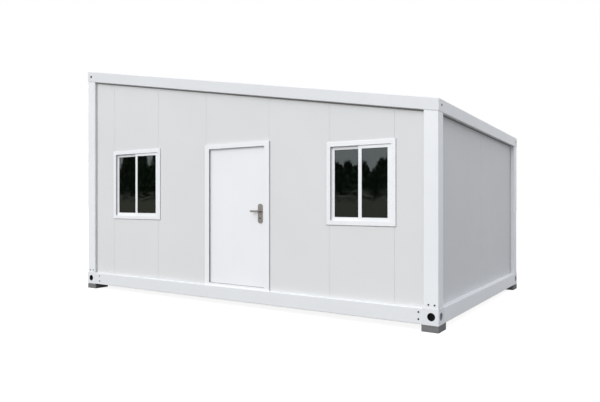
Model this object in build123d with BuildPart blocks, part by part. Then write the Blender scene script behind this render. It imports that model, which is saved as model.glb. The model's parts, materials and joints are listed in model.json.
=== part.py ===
from build123d import *
import os

# Portable site cabin, in millimetres. X runs along the length, the door side faces -Y and
# Z is up. The origin is on the ground under the middle of the plan.

# Whole cabin: heights are taken from the underside of the base frame
length = 6058.0
width = 3845.0
eave_left = 3549.0
eave_right = 2509.0
cross_fall = 95.0
overrun = 60.0
seat_gap = 0.2

# Feet
foot_height = 78.0
foot_length = 200.0
foot_depth = 250.0
foot_chamfer = 4.0

# Base frame
rail_height = 183.0
rail_top_flange = 170.0
rail_bottom_flange = 70.0
rail_sheet = 5.0
rail_bend = 9.0
block_size = 190.0
block_wall = 8.0
block_edge_radius = 3.0
block_hole_diameter = 92.0
block_hole_inset = 86.0
block_hole_rise = 93.0

# Floor
joist_height = 120.0
joist_flange = 50.0
joist_sheet = 4.0
joist_spacing = 560.0
deck_thickness = 18.0
deck_post_gap = 1.0

# Corner posts
post_width = 172.0
post_depth = 160.0
post_setback = 3.0
post_sheet = 4.0
post_bend = 10.0

# Roof: the long beams taper from the high end to the low end
beam_depth_high = 170.0
beam_depth_low = 146.0
beam_top_flange = 60.0
beam_bottom_flange = 170.0
beam_sheet = 5.0
beam_bend = 9.0
ceiling_thickness = 40.0
ceiling_inset = 40.0
purlin_width = 50.0
purlin_spacing = 950.0
sheet_drop = 50.0
roof_sheet_thickness = 3.0
rib_height = 28.0
rib_pitch = 250.0
rib_base = 70.0
rib_crest = 34.0
gutter_width = 140.0
gutter_height = 48.0
gutter_sheet = 3.0
gutter_bend = 6.0
sheet_drip = 45.0

# Wall panels
long_wall_recess = 44.0
end_wall_recess = 70.0
wall_thickness = 75.0
panel_gap = 3.0
panel_chamfer = 2.0
back_panel_pitch = 950.0

# Windows: each strip is the wall between a post and the edge of the nearest window frame
left_strip = 434.0
left_window_width = 1073.0
left_window_height = 1087.0
left_window_sill = 1090.0
left_window_covers = (14.0, 42.0)
right_strip = 347.0
right_window_width = 924.0
right_window_height = 1019.0
right_window_sill = 1080.0
right_window_covers = (46.0, 16.0)
window_proud = 10.0
window_depth = 70.0
window_face = 56.0
window_cover = 28.0
window_edge_radius = 4.0
sash_thickness = 18.0
sash_stile = 47.0
sash_rail = 41.0
sash_meeting = 45.0
sash_recess = 10.0
track_rib = 2.0
track_rise = 14.0
glass_thickness = 6.0

# Door
door_centre = 145.0
door_frame_width = 1133.0
door_frame_top = 2174.0
door_frame_proud = 20.0
door_lip = 10.0
jamb_face = 78.0
head_face = 64.0
leaf_setback = 28.0
leaf_thickness = 45.0
leaf_cover = 12.0
leaf_edge_radius = 2.0
leaf_floor_gap = 8.0
door_clearance = 5.0
threshold_cover = 6.0

# Door hinges
hinge_radius = 8.0
hinge_pin_radius = 4.5
hinge_play = 0.3
hinge_half_height = 55.0
hinge_standoff = 9.0
hinge_plate_width = 42.0
hinge_plate_sheet = 3.0
hinge_inset = 230.0

# Door handle
handle_backset = 94.0
handle_height = 1238.0
plate_width = 80.0
plate_height = 264.0
plate_thickness = 8.0
plate_corner_radius = 36.0
plate_edge = 2.0
plate_drop = 31.0
keyhole_drop = 95.0
keyhole_diameter = 12.0
keyhole_slot_width = 6.0
keyhole_slot_length = 16.0
lever_neck = 40.0
lever_neck_radius = 10.0
lever_length = 137.0
lever_height = 26.0
lever_thickness = 12.0
lever_edge = 3.0
spindle_radius = 6.0
spindle_play = 0.6

os.makedirs("parts", exist_ok=True)

half_length = length / 2
half_width = width / 2
base = foot_height
rail_top = base + rail_height
floor_top = rail_top + deck_thickness
along_slope = (eave_right - eave_left) / length
soffit_slope = along_slope + (beam_depth_high - beam_depth_low) / length
cross_slope = -cross_fall / width
roof_corner = base + eave_left
soffit_corner = roof_corner - beam_depth_high
roof_run = Vector(length, 0, along_slope * length)
soffit_run = Vector(length, 0, soffit_slope * length)
cross_run = Vector(0, -width, cross_fall)
wall_end_x = half_length - post_setback - post_width
wall_end_y = half_width - post_setback - post_depth
corners = {
    "front_left": (-1, -1),
    "front_right": (1, -1),
    "back_left": (-1, 1),
    "back_right": (1, 1),
}


def save(part, name):
    part.label = name
    export_step(part, f"parts/{name}.step")


def roof_height(x, y, drop=0):
    """Height of the plane on top of the beams, which falls along the length and to the back."""
    return roof_corner + along_slope * (x + half_length) + cross_slope * (y + half_width) - drop


def soffit_height(x, y, rise=0):
    """Height of the plane under the beams, which carries the ceiling and ends the walls."""
    return soffit_corner + soffit_slope * (x + half_length) + cross_slope * (y + half_width) + rise


def roof_plane(drop):
    return Plane(
        origin=(-half_length, -half_width, roof_corner - drop), z_dir=(-along_slope, -cross_slope, 1),
    )


def soffit_plane(rise=0):
    return Plane(
        origin=(-half_length, -half_width, soffit_corner + rise), z_dir=(-soffit_slope, -cross_slope, 1),
    )


def bent_sheet(points, inward, sheet, bend):
    """Closed outline of a sheet bent along the points, with its thickness on the inward side."""
    FilletPolyline(*points, radius=bend)
    offset(amount=sheet, side=Side.LEFT if inward > 0 else Side.RIGHT)


# Feet: four chamfered blocks under the corners
foot_x = half_length - foot_length / 2
foot_y = half_width - foot_depth / 2
with BuildPart() as feet:
    with BuildSketch():
        with Locations(*[(sx * foot_x, sy * foot_y) for sx, sy in corners.values()]):
            Rectangle(foot_length, foot_depth)
    extrude(amount=foot_height)
    chamfer(feet.edges().filter_by(Axis.Z), length=foot_chamfer)
save(feet.part, "feet")

# Corner blocks: hollow, with a round hole in each of the two outer faces
for corner, (sx, sy) in corners.items():
    block_x = sx * (half_length - block_size / 2)
    block_y = sy * (half_width - block_size / 2)
    hole_x = sx * (half_length - block_hole_inset)
    hole_y = sy * (half_width - block_hole_inset)
    hole_z = base + block_hole_rise
    with BuildPart() as block:
        with BuildSketch(Plane.XY.offset(base)):
            with Locations((block_x, block_y)):
                Rectangle(block_size, block_size)
        extrude(amount=rail_height)
        corner_point = (sx * half_length, sy * half_width, base)
        fillet(block.edges().filter_by(Axis.Z).sort_by_distance(corner_point)[0], radius=block_edge_radius)
        with BuildSketch(Plane.XY.offset(base + block_wall)):
            with Locations((block_x, block_y)):
                Rectangle(block_size - 2 * block_wall, block_size - 2 * block_wall)
        extrude(amount=rail_height - 2 * block_wall, mode=Mode.SUBTRACT)
        with Locations(Plane(origin=(hole_x, sy * half_width, hole_z), z_dir=(0, sy, 0))):
            Hole(radius=block_hole_diameter / 2, depth=block_wall)
        with Locations(Plane(origin=(sx * half_length, hole_y, hole_z), z_dir=(sx, 0, 0))):
            Hole(radius=block_hole_diameter / 2, depth=block_wall)
    save(block.part, f"corner_block_{corner}")

# Base rails: channels bent from sheet, open towards the middle, between the corner blocks
for name, sy in (("front", -1), ("back", 1)):
    web = sy * half_width
    rail_points = [
        (web - sy * rail_top_flange, rail_top),
        (web, rail_top),
        (web, base),
        (web - sy * rail_bottom_flange, base),
    ]
    with BuildPart() as rail:
        with BuildSketch(Plane.YZ.offset(-half_length + block_size)):
            with BuildLine():
                bent_sheet(rail_points, -sy, rail_sheet, rail_bend)
            make_face()
        extrude(amount=length - 2 * block_size)
    save(rail.part, f"base_rail_{name}")
for name, sx in (("left", -1), ("right", 1)):
    web = sx * half_length
    rail_points = [
        (web - sx * rail_top_flange, rail_top),
        (web, rail_top),
        (web, base),
        (web - sx * rail_bottom_flange, base),
    ]
    with BuildPart() as rail:
        with BuildSketch(Plane.XZ.offset(-half_width + block_size)):
            with BuildLine():
                bent_sheet(rail_points, -sx, rail_sheet, rail_bend)
            make_face()
        extrude(amount=width - 2 * block_size)
    save(rail.part, f"base_rail_{name}")

# Floor joists: channels across the base, coped under the top flanges of the long rails
joist_count = int((length - 2 * block_size) // joist_spacing)
joist_web_shift = joist_sheet / 2
with BuildPart() as joists:
    with BuildSketch(Plane.XZ.offset(-half_width + rail_sheet)):
        with GridLocations(joist_spacing, 0, joist_count, 1):
            with Locations((0, rail_top - joist_height / 2)):
                Rectangle(joist_flange, joist_height)
            with Locations((joist_web_shift, rail_top - joist_height / 2)):
                Rectangle(joist_flange - joist_sheet, joist_height - 2 * joist_sheet, mode=Mode.SUBTRACT)
    extrude(amount=width - 2 * rail_sheet)
    with BuildSketch(Plane.XY.offset(rail_top - rail_bend)):
        with GridLocations(0, width - rail_top_flange, 1, 2):
            Rectangle(length, rail_top_flange)
    extrude(amount=rail_bend + overrun, mode=Mode.SUBTRACT)
save(joists.part, "floor_joists")

# Floor deck: a board between the walls, cut out round the posts
post_centre_x = wall_end_x + post_width / 2
post_centre_y = wall_end_y + post_depth / 2
post_places = [(sx * post_centre_x, sy * post_centre_y) for sx, sy in corners.values()]
deck_length = length - 2 * (end_wall_recess + wall_thickness)
deck_width = width - 2 * (long_wall_recess + wall_thickness)
with BuildPart() as deck:
    with BuildSketch(Plane.XY.offset(rail_top)):
        Rectangle(deck_length, deck_width)
        with Locations(*post_places):
            Rectangle(post_width + 2 * deck_post_gap, post_depth + 2 * deck_post_gap, mode=Mode.SUBTRACT)
    extrude(amount=deck_thickness)
save(deck.part, "floor_deck")

# Corner posts: bent box sections, cut at the top to the plane under the beams
for corner, place in zip(corners, post_places):
    with BuildPart() as post:
        with BuildSketch(Plane.XY.offset(rail_top)):
            with Locations(place):
                RectangleRounded(post_width, post_depth, post_bend)
                RectangleRounded(
                    post_width - 2 * post_sheet, post_depth - 2 * post_sheet, post_bend - post_sheet,
                    mode=Mode.SUBTRACT,
                )
        extrude(amount=eave_left - rail_height)
        split(bisect_by=soffit_plane(), keep=Keep.BOTTOM)
    save(post.part, f"corner_post_{corner}")

# Roof beams: bars bent from sheet that follow the two falls and meet in mitred corners. The long
# ones taper, so their upper and lower halves follow different falls and overlap in the web.


def roof_bar(middle, across, run, points, inward):
    """Bar along the run, bent from sheet. Its points are drawn square to the run at its middle."""
    with BuildSketch(Plane(origin=middle, x_dir=across, z_dir=run)) as section:
        with BuildLine():
            bent_sheet(points, inward, beam_sheet, beam_bend)
        make_face()
    extrude(section.sketch, amount=run.length / 2 + overrun, both=True)


web_leg = beam_depth_high / 2 + beam_bend
for name, sy in (("front", -1), ("back", 1)):
    web = sy * half_width
    top_tip = -sy * beam_top_flange
    bottom_tip = -sy * beam_bottom_flange
    top_fall = cross_slope * length / roof_run.length
    bottom_fall = cross_slope * length / soffit_run.length
    upper_points = [(top_tip, top_tip * top_fall), (0, 0), (0, -web_leg)]
    lower_points = [(0, web_leg), (0, 0), (bottom_tip, bottom_tip * bottom_fall)]
    with BuildPart() as beam:
        roof_bar((0, web, roof_height(0, web)), (0, 1, 0), roof_run, upper_points, -sy)
        roof_bar((0, web, soffit_height(0, web)), (0, 1, 0), soffit_run, lower_points, -sy)
        for sx in (-1, 1):
            mitre = Plane(origin=(sx * half_length, web, 0), z_dir=(-sx, sy, 0))
            split(bisect_by=mitre, keep=Keep.TOP)
    save(beam.part, f"roof_beam_{name}")
for name, sx, depth in (("left", -1, beam_depth_high), ("right", 1, beam_depth_low)):
    web = sx * half_length
    square = width / cross_run.length
    top_tip = -sx * beam_top_flange
    bottom_tip = -sx * beam_bottom_flange
    bar_points = [
        (top_tip, top_tip * along_slope * square),
        (0, 0),
        (0, -depth * square),
        (bottom_tip, (bottom_tip * soffit_slope - depth) * square),
    ]
    with BuildPart() as beam:
        roof_bar((web, 0, roof_height(web, 0)), (1, 0, 0), cross_run, bar_points, -sx)
        for sy in (-1, 1):
            mitre = Plane(origin=(web, sy * half_width, 0), z_dir=(sx, -sy, 0))
            split(bisect_by=mitre, keep=Keep.TOP)
    save(beam.part, f"roof_beam_{name}")

# Ceiling panel: rests on the bottom flanges of the beams
ceiling_bottom = beam_sheet + seat_gap
ceiling_top = ceiling_bottom + ceiling_thickness
with BuildPart() as ceiling:
    with BuildSketch(Plane.XY.offset(base)):
        Rectangle(length - 2 * ceiling_inset, width - 2 * ceiling_inset)
    extrude(amount=eave_left)
    split(bisect_by=soffit_plane(ceiling_top), keep=Keep.BOTTOM)
    split(bisect_by=soffit_plane(ceiling_bottom), keep=Keep.TOP)
save(ceiling.part, "ceiling_panel")

# Purlins: bars across the ceiling, cut to height under the roof sheet
purlin_reach = length - 2 * (beam_sheet + gutter_width)
purlin_count = int(purlin_reach // purlin_spacing)
with BuildPart() as purlins:
    with BuildSketch(Plane.XY.offset(base)):
        with GridLocations(purlin_spacing, 0, purlin_count, 1):
            Rectangle(purlin_width, width - 2 * beam_sheet)
    extrude(amount=eave_left)
    split(bisect_by=roof_plane(sheet_drop), keep=Keep.BOTTOM)
    split(bisect_by=soffit_plane(ceiling_top), keep=Keep.TOP)
save(purlins.part, "roof_purlins")

# Gutter: a bent trough across the low end, inside the right-hand beam
gutter_outer = half_length - beam_sheet
gutter_inner = gutter_outer - gutter_width
gutter_points = [
    (gutter_inner, soffit_height(gutter_inner, -half_width, ceiling_top + gutter_height)),
    (gutter_inner, soffit_height(gutter_inner, -half_width, ceiling_top)),
    (gutter_outer, soffit_height(gutter_outer, -half_width, ceiling_top)),
    (gutter_outer, soffit_height(gutter_outer, -half_width, ceiling_top + gutter_height)),
]
with BuildPart() as gutter:
    with BuildSketch(Plane.XZ.offset(half_width)):
        with BuildLine():
            bent_sheet(gutter_points, 1, gutter_sheet, gutter_bend)
        make_face()
    extrude(amount=cross_run.length, dir=-cross_run.normalized())
    for sy in (-1, 1):
        end = Plane(origin=(0, sy * (half_width - beam_sheet), 0), z_dir=(0, -sy, 0))
        split(bisect_by=end, keep=Keep.TOP)
save(gutter.part, "roof_gutter")

# Roof sheet: trapezoidal ribs run down the slope from the high beam to the gutter
sheet_width = width - 2 * beam_sheet
sheet_start = -half_length + beam_sheet
sheet_length = gutter_inner + sheet_drip - sheet_start
rib_count = int((sheet_width - rib_base) // rib_pitch)
rib_first = -rib_pitch * (rib_count - 1) / 2
sheet_line = [(-sheet_width / 2, 0)]
for index in range(rib_count):
    rib_centre = rib_first + index * rib_pitch
    sheet_line.append((rib_centre - rib_base / 2, 0))
    sheet_line.append((rib_centre - rib_crest / 2, rib_height))
    sheet_line.append((rib_centre + rib_crest / 2, rib_height))
    sheet_line.append((rib_centre + rib_base / 2, 0))
sheet_line.append((sheet_width / 2, 0))
sheet_under = [(y, roof_height(sheet_start, y, sheet_drop) + rise) for y, rise in sheet_line]
sheet_over = [(y, z + roof_sheet_thickness) for y, z in reversed(sheet_under)]
with BuildPart() as roof_sheet:
    with BuildSketch(Plane.YZ.offset(sheet_start)):
        with BuildLine():
            Polyline(*sheet_under, *sheet_over, close=True)
        make_face()
    extrude(amount=sheet_length * roof_run.length / length, dir=roof_run.normalized())
save(roof_sheet.part, "roof_sheet")

# Front wall: panels between the posts, the windows and the door, cut to the fall of the roof
wall_front = Plane.XZ.offset(half_width - long_wall_recess)
left_window_start = -wall_end_x + left_strip
left_window_end = left_window_start + left_window_width
right_window_end = wall_end_x - right_strip
right_window_start = right_window_end - right_window_width
door_half = door_frame_width / 2 - door_lip
wall_top = eave_left


def front_panel(name, start, end, spans, gap_start, gap_end):
    """Panel from start to end in X, made of the given spans in height above the base's underside."""
    left = start + gap_start
    right = end - gap_end
    with BuildPart() as panel:
        with BuildSketch(wall_front):
            for low, high in spans:
                with Locations(((left + right) / 2, base + (low + high) / 2)):
                    Rectangle(right - left, high - low)
        extrude(amount=-wall_thickness)
        split(bisect_by=soffit_plane(), keep=Keep.BOTTOM)
        front_edges = panel.edges().filter_by(Axis.Z).group_by(Axis.Y)[0]
        chamfer(front_edges, length=panel_chamfer)
    save(panel.part, name)


def window_spans(sill, height):
    """Heights of the two panel pieces under and over a window."""
    under = (rail_height, sill + window_cover)
    over = (sill + height - window_cover, wall_top)
    return [under, over]


full_height = [(rail_height, wall_top)]
over_door = [(door_frame_top - door_lip, wall_top)]
left_window_spans = window_spans(left_window_sill, left_window_height)
right_window_spans = window_spans(right_window_sill, right_window_height)
seam = panel_gap / 2
seams = [
    -wall_end_x,
    left_window_start + left_window_covers[0],
    left_window_end - left_window_covers[1],
    door_centre - door_half,
    door_centre + door_half,
    right_window_start + right_window_covers[0],
    right_window_end - right_window_covers[1],
    wall_end_x,
]
front_panel("front_panel_left", seams[0], seams[1], full_height, 0, seam)
front_panel("front_panels_left_window", seams[1], seams[2], left_window_spans, seam, seam)
front_panel("front_panel_mid_left", seams[2], seams[3], full_height, seam, 0)
front_panel("front_panel_over_door", seams[3], seams[4], over_door, seam, seam)
front_panel("front_panel_mid_right", seams[4], seams[5], full_height, 0, seam)
front_panel("front_panels_right_window", seams[5], seams[6], right_window_spans, seam, seam)
front_panel("front_panel_right", seams[6], seams[7], full_height, seam, 0)

# End walls: two panels each, with a seam in the middle
end_panel_width = wall_end_y - panel_gap / 2
for name, sx in (("left", -1), ("right", 1)):
    with BuildPart() as end_wall:
        with BuildSketch(Plane.YZ.offset(sx * (half_length - end_wall_recess))):
            with Locations((0, rail_top + wall_top / 2)):
                with GridLocations(end_panel_width + panel_gap, 0, 2, 1):
                    Rectangle(end_panel_width, wall_top)
        extrude(amount=-sx * wall_thickness)
        split(bisect_by=soffit_plane(), keep=Keep.BOTTOM)
        outer_edges = end_wall.edges().filter_by(Axis.Z).group_by(Axis.X)[-1 if sx > 0 else 0]
        chamfer(outer_edges, length=panel_chamfer)
    save(end_wall.part, f"{name}_wall_panels")

# Back wall: plain panels of equal width
back_wall_width = 2 * wall_end_x
back_panel_count = int(back_wall_width // back_panel_pitch)
back_panel_width = (back_wall_width - panel_gap * (back_panel_count - 1)) / back_panel_count
with BuildPart() as back_wall:
    with BuildSketch(Plane.XZ.offset(-half_width + long_wall_recess)):
        with Locations((0, rail_top + wall_top / 2)):
            with GridLocations(back_panel_width + panel_gap, 0, back_panel_count, 1):
                Rectangle(back_panel_width, wall_top)
    extrude(amount=wall_thickness)
    split(bisect_by=soffit_plane(), keep=Keep.BOTTOM)
    chamfer(back_wall.edges().filter_by(Axis.Z).group_by(Axis.Y)[-1], length=panel_chamfer)
save(back_wall.part, "back_wall_panels")

# Sliding windows: a frame that covers the panel joints, two sashes on two tracks, and glass
window_front = half_width - long_wall_recess + window_proud
outer_track = window_front - sash_recess
inner_track = outer_track - sash_thickness - track_rib - 2 * seat_gap


def window(name, start, sill, full_width, full_height, covers):
    """Window whose frame starts at the given X and laps over the panels by the two covers."""
    middle = (start + full_width / 2, base + sill + full_height / 2)
    clear_width = full_width - 2 * window_face
    clear_height = full_height - 2 * window_face
    body_width = full_width - covers[0] - covers[1]
    body_middle = (middle[0] + (covers[0] - covers[1]) / 2, middle[1])
    with BuildPart() as frame:
        with BuildSketch(Plane.XZ.offset(window_front)):
            with Locations(middle):
                Rectangle(full_width, full_height)
        extrude(amount=-window_proud)
        fillet(frame.faces().sort_by(Axis.Y)[0].edges(), radius=window_edge_radius)
        with BuildSketch(Plane.XZ.offset(window_front - window_proud)):
            with Locations(body_middle):
                Rectangle(body_width, full_height - 2 * window_cover)
        extrude(amount=window_proud - window_depth)
        with BuildSketch(Plane.XZ.offset(window_front)):
            with Locations(middle):
                Rectangle(clear_width, clear_height)
        extrude(amount=-window_depth, mode=Mode.SUBTRACT)
        with BuildSketch(Plane.XZ.offset(inner_track + seat_gap + track_rib)):
            with Locations(middle):
                with GridLocations(0, clear_height - track_rise, 1, 2):
                    Rectangle(clear_width, track_rise)
        extrude(amount=-track_rib)
    save(frame.part, f"{name}_window_frame")

    sash_width = (clear_width + sash_meeting) / 2
    sash_shift = (clear_width - sash_width) / 2
    pane_width = sash_width - sash_stile - sash_meeting
    pane_height = clear_height - 2 * sash_rail
    pane_shift = (sash_meeting - sash_stile) / 2
    with BuildPart() as sashes:
        for side, track in ((-1, inner_track), (1, outer_track)):
            sash_x = middle[0] + side * sash_shift
            with BuildSketch(Plane.XZ.offset(track)):
                with Locations((sash_x, middle[1])):
                    Rectangle(sash_width, clear_height)
                with Locations((sash_x + side * pane_shift, middle[1])):
                    Rectangle(pane_width, pane_height, mode=Mode.SUBTRACT)
            extrude(amount=-sash_thickness)
    save(sashes.part, f"{name}_window_sashes")

    with BuildPart() as glass:
        for side, track in ((-1, inner_track), (1, outer_track)):
            pane_x = middle[0] + side * (sash_shift + pane_shift)
            with BuildSketch(Plane.XZ.offset(track - (sash_thickness - glass_thickness) / 2)):
                with Locations((pane_x, middle[1])):
                    Rectangle(pane_width, pane_height)
            extrude(amount=-glass_thickness)
    save(glass.part, f"{name}_window_glass")


window(
    "left", left_window_start, left_window_sill,
    left_window_width, left_window_height, left_window_covers,
)
window(
    "right", right_window_start, right_window_sill,
    right_window_width, right_window_height, right_window_covers,
)

# Door frame: rebated jambs, a head between them and a threshold on the base rail
door_wall = -half_width + long_wall_recess
door_front = door_wall - door_frame_proud
leaf_front = door_front + leaf_setback
leaf_back = leaf_front + leaf_thickness
stop_back = leaf_front - door_clearance
jamb_outer = door_frame_width / 2
jamb_stop = jamb_outer - jamb_face
jamb_rebate = jamb_stop + leaf_cover + door_clearance
frame_top = base + door_frame_top
head_stop = frame_top - head_face
head_rebate = head_stop + leaf_cover + door_clearance
with BuildPart() as jambs:
    for side in (-1, 1):
        with BuildSketch(Plane.XY.offset(rail_top)):
            with BuildLine():
                Polyline(
                    (door_centre + side * jamb_outer, door_front),
                    (door_centre + side * jamb_stop, door_front),
                    (door_centre + side * jamb_stop, stop_back),
                    (door_centre + side * jamb_rebate, stop_back),
                    (door_centre + side * jamb_rebate, leaf_back),
                    (door_centre + side * door_half, leaf_back),
                    (door_centre + side * door_half, door_wall),
                    (door_centre + side * jamb_outer, door_wall),
                    close=True,
                )
            make_face()
        extrude(amount=frame_top - rail_top)
    with BuildSketch(Plane.XY.offset(frame_top - door_lip)):
        with Locations((door_centre, (door_wall + leaf_back) / 2)):
            Rectangle(door_frame_width, leaf_back - door_wall)
    extrude(amount=door_lip + overrun, mode=Mode.SUBTRACT)
save(jambs.part, "door_jambs")

with BuildPart() as head:
    with BuildSketch(Plane.YZ.offset(door_centre - door_half)):
        with BuildLine():
            Polyline(
                (door_front, frame_top),
                (door_front, head_stop),
                (stop_back, head_stop),
                (stop_back, head_rebate),
                (leaf_back, head_rebate),
                (leaf_back, frame_top - door_lip),
                (door_wall, frame_top - door_lip),
                (door_wall, frame_top),
                close=True,
            )
        make_face()
    extrude(amount=2 * door_half)
    add(jambs.part, mode=Mode.SUBTRACT)
save(head.part, "door_head")

leaf_bottom = floor_top + leaf_floor_gap
leaf_top = head_stop + leaf_cover
wall_back = door_wall + wall_thickness
with BuildPart() as threshold:
    with BuildSketch(Plane.YZ.offset(door_centre - door_half)):
        with BuildLine():
            Polyline(
                (door_front, rail_top),
                (wall_back, rail_top),
                (wall_back, floor_top),
                (stop_back, floor_top),
                (stop_back, leaf_bottom + threshold_cover),
                (door_front, leaf_bottom + threshold_cover),
                close=True,
            )
        make_face()
    extrude(amount=2 * door_half)
    add(jambs.part, mode=Mode.SUBTRACT)
save(threshold.part, "door_threshold")

# Door leaf: flush, with a bore for the spindle
leaf_half = jamb_stop + leaf_cover
leaf_left = door_centre - leaf_half
spindle_x = door_centre + leaf_half - handle_backset
spindle_z = base + handle_height
with BuildPart() as leaf:
    with BuildSketch(Plane.XZ.offset(-leaf_front)):
        with Locations((door_centre, (leaf_bottom + leaf_top) / 2)):
            Rectangle(2 * leaf_half, leaf_top - leaf_bottom)
    extrude(amount=-leaf_thickness)
    fillet(leaf.edges().filter_by(Axis.Z), radius=leaf_edge_radius)
    with Locations(Plane(origin=(spindle_x, leaf_front, spindle_z), z_dir=(0, -1, 0))):
        Hole(radius=spindle_radius + spindle_play, depth=leaf_thickness)
save(leaf.part, "door_leaf")

# Hinges: lift-off pairs on the room side, pins on the frame and sleeves on the leaf
hinge_x = leaf_left - door_clearance / 2
hinge_y = leaf_back + hinge_standoff
hinge_middles = (leaf_bottom + hinge_inset, (leaf_bottom + leaf_top) / 2, leaf_top - hinge_inset)
hinge_places = [(hinge_x, hinge_y, z) for z in hinge_middles]
with BuildPart() as hinge_pins:
    with Locations(*hinge_places):
        Cylinder(hinge_radius, hinge_half_height, align=(Align.CENTER, Align.CENTER, Align.MAX))
        Cylinder(hinge_pin_radius, hinge_half_height, align=(Align.CENTER, Align.CENTER, Align.MIN))
        with Locations((0, -hinge_standoff, 0)):
            Box(
                hinge_plate_width, hinge_plate_sheet, hinge_half_height,
                align=(Align.MAX, Align.MIN, Align.MAX),
            )
save(hinge_pins.part, "door_hinge_pins")
with BuildPart() as hinge_sleeves:
    with Locations(*[(x, y, z + hinge_play) for x, y, z in hinge_places]):
        Cylinder(hinge_radius, hinge_half_height, align=(Align.CENTER, Align.CENTER, Align.MIN))
        with Locations((0, -hinge_standoff, 0)):
            Box(
                hinge_plate_width, hinge_plate_sheet, hinge_half_height,
                align=(Align.MIN, Align.MIN, Align.MIN),
            )
        Cylinder(
            hinge_pin_radius + hinge_play, hinge_half_height,
            align=(Align.CENTER, Align.CENTER, Align.MIN), mode=Mode.SUBTRACT,
        )
save(hinge_sleeves.part, "door_hinge_sleeves")

# Handle plates: one on each face of the leaf, with the spindle hole and a keyhole
leaf_middle = Plane.XZ.offset(-(leaf_front + leaf_back) / 2)
with BuildPart() as plates:
    with BuildSketch(Plane.XZ.offset(-leaf_front)):
        with Locations((spindle_x, spindle_z - plate_drop)):
            RectangleRounded(plate_width, plate_height, plate_corner_radius)
        with Locations((spindle_x, spindle_z)):
            Circle(spindle_radius + spindle_play, mode=Mode.SUBTRACT)
        with Locations((spindle_x, spindle_z - keyhole_drop)):
            Circle(keyhole_diameter / 2, mode=Mode.SUBTRACT)
            Rectangle(
                keyhole_slot_width, keyhole_slot_length,
                align=(Align.CENTER, Align.MAX), mode=Mode.SUBTRACT,
            )
    extrude(amount=plate_thickness)
    outer_rim = plates.faces().sort_by(Axis.Y)[0].outer_wire().edges()
    chamfer(outer_rim, length=plate_edge)
    mirror(about=leaf_middle)
save(plates.part, "door_handle_plates")

# Lever handle: a flat round-ended bar on a neck on each side, on one spindle through the leaf
lever_root = leaf_front - plate_thickness - seat_gap
lever_back = lever_root - lever_neck
lever_span = lever_length - lever_height / 2
with BuildPart() as lever:
    with BuildSketch(Plane.XZ.offset(-lever_back)):
        with Locations((spindle_x - lever_span / 2, spindle_z)):
            SlotCenterToCenter(lever_span, lever_height)
    extrude(amount=lever_thickness)
    chamfer(lever.faces().sort_by(Axis.Y)[0].edges(), length=lever_edge)
    with BuildSketch(Plane.XZ.offset(-lever_root)):
        with Locations((spindle_x, spindle_z)):
            Circle(lever_neck_radius)
    extrude(amount=lever_neck)
    with BuildSketch(Plane.XZ.offset(-lever_root)):
        with Locations((spindle_x, spindle_z)):
            Circle(spindle_radius)
    extrude(amount=lever_root - (leaf_front + leaf_back) / 2)
    mirror(about=leaf_middle)
save(lever.part, "door_lever")
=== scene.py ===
"""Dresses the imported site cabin: a finish for every CAD node, fasteners, seals, light and camera."""
import json
import math

import bmesh
import bpy
from mathutils import Matrix, Vector


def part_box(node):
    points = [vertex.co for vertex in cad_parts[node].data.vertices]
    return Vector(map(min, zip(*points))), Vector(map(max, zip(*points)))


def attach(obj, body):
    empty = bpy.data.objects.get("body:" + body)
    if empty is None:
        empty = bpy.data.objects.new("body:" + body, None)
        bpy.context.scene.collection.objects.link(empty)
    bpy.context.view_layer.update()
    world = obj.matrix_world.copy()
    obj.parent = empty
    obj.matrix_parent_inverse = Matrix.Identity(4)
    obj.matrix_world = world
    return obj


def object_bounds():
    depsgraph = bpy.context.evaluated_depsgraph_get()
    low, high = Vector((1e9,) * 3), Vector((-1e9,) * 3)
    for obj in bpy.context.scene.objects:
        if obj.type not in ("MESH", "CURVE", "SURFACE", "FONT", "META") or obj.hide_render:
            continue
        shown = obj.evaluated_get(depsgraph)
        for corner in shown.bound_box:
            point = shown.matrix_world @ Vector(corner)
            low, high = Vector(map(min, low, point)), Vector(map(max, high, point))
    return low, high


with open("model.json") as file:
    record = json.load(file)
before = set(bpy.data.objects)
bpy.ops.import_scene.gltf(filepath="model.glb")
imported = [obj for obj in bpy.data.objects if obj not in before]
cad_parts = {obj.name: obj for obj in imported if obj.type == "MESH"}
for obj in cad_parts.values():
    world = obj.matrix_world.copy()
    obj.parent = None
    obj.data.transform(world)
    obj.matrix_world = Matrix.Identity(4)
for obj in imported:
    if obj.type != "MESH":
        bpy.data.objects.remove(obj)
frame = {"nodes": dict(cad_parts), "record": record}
cad_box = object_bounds()

# Sizes in metres, in the frame of the CAD model: the door side faces -Y and the low end is at +X
EAVE_LEFT = 3.549
EAVE_RIGHT = 2.509
CROSS_FALL = 0.095
BEAM_DEPTH_HIGH = 0.170
BEAM_DEPTH_LOW = 0.146
LONG_WALL_RECESS = 0.044
END_WALL_RECESS = 0.070
BACK_PANELS = 6

# Holes of the corner blocks: in from the corner, and up from the underside of the base frame
HOLE_INSET = 0.086
HOLE_RISE = 0.093

# Windows: the covers are how far each frame laps over the panel joints at its left and right
LEFT_COVERS = (0.014, 0.042)
RIGHT_COVERS = (0.046, 0.016)
WINDOW_FACE = 0.056
SASH_STILE = 0.047
SASH_RAIL = 0.041
SASH_MEETING = 0.045
SASH_RECESS = 0.010
SASH_THICKNESS = 0.018
TRACK_GAP = 0.0024
GLASS_SET_IN = 0.006
GLASS_THICKNESS = 0.006

# Door
DOOR_LIP = 0.010
JAMB_FACE = 0.078
HEAD_FACE = 0.064
STOP_DEPTH = 0.023
LEVER_HEIGHT = 0.026
KEYHOLE_DROP = 0.095

# Roof sheet
RIB_PITCH = 0.250
RIB_TOP_DROP = 0.019
RIB_MARGIN = 0.070
PURLIN_SPACING = 0.950

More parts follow.
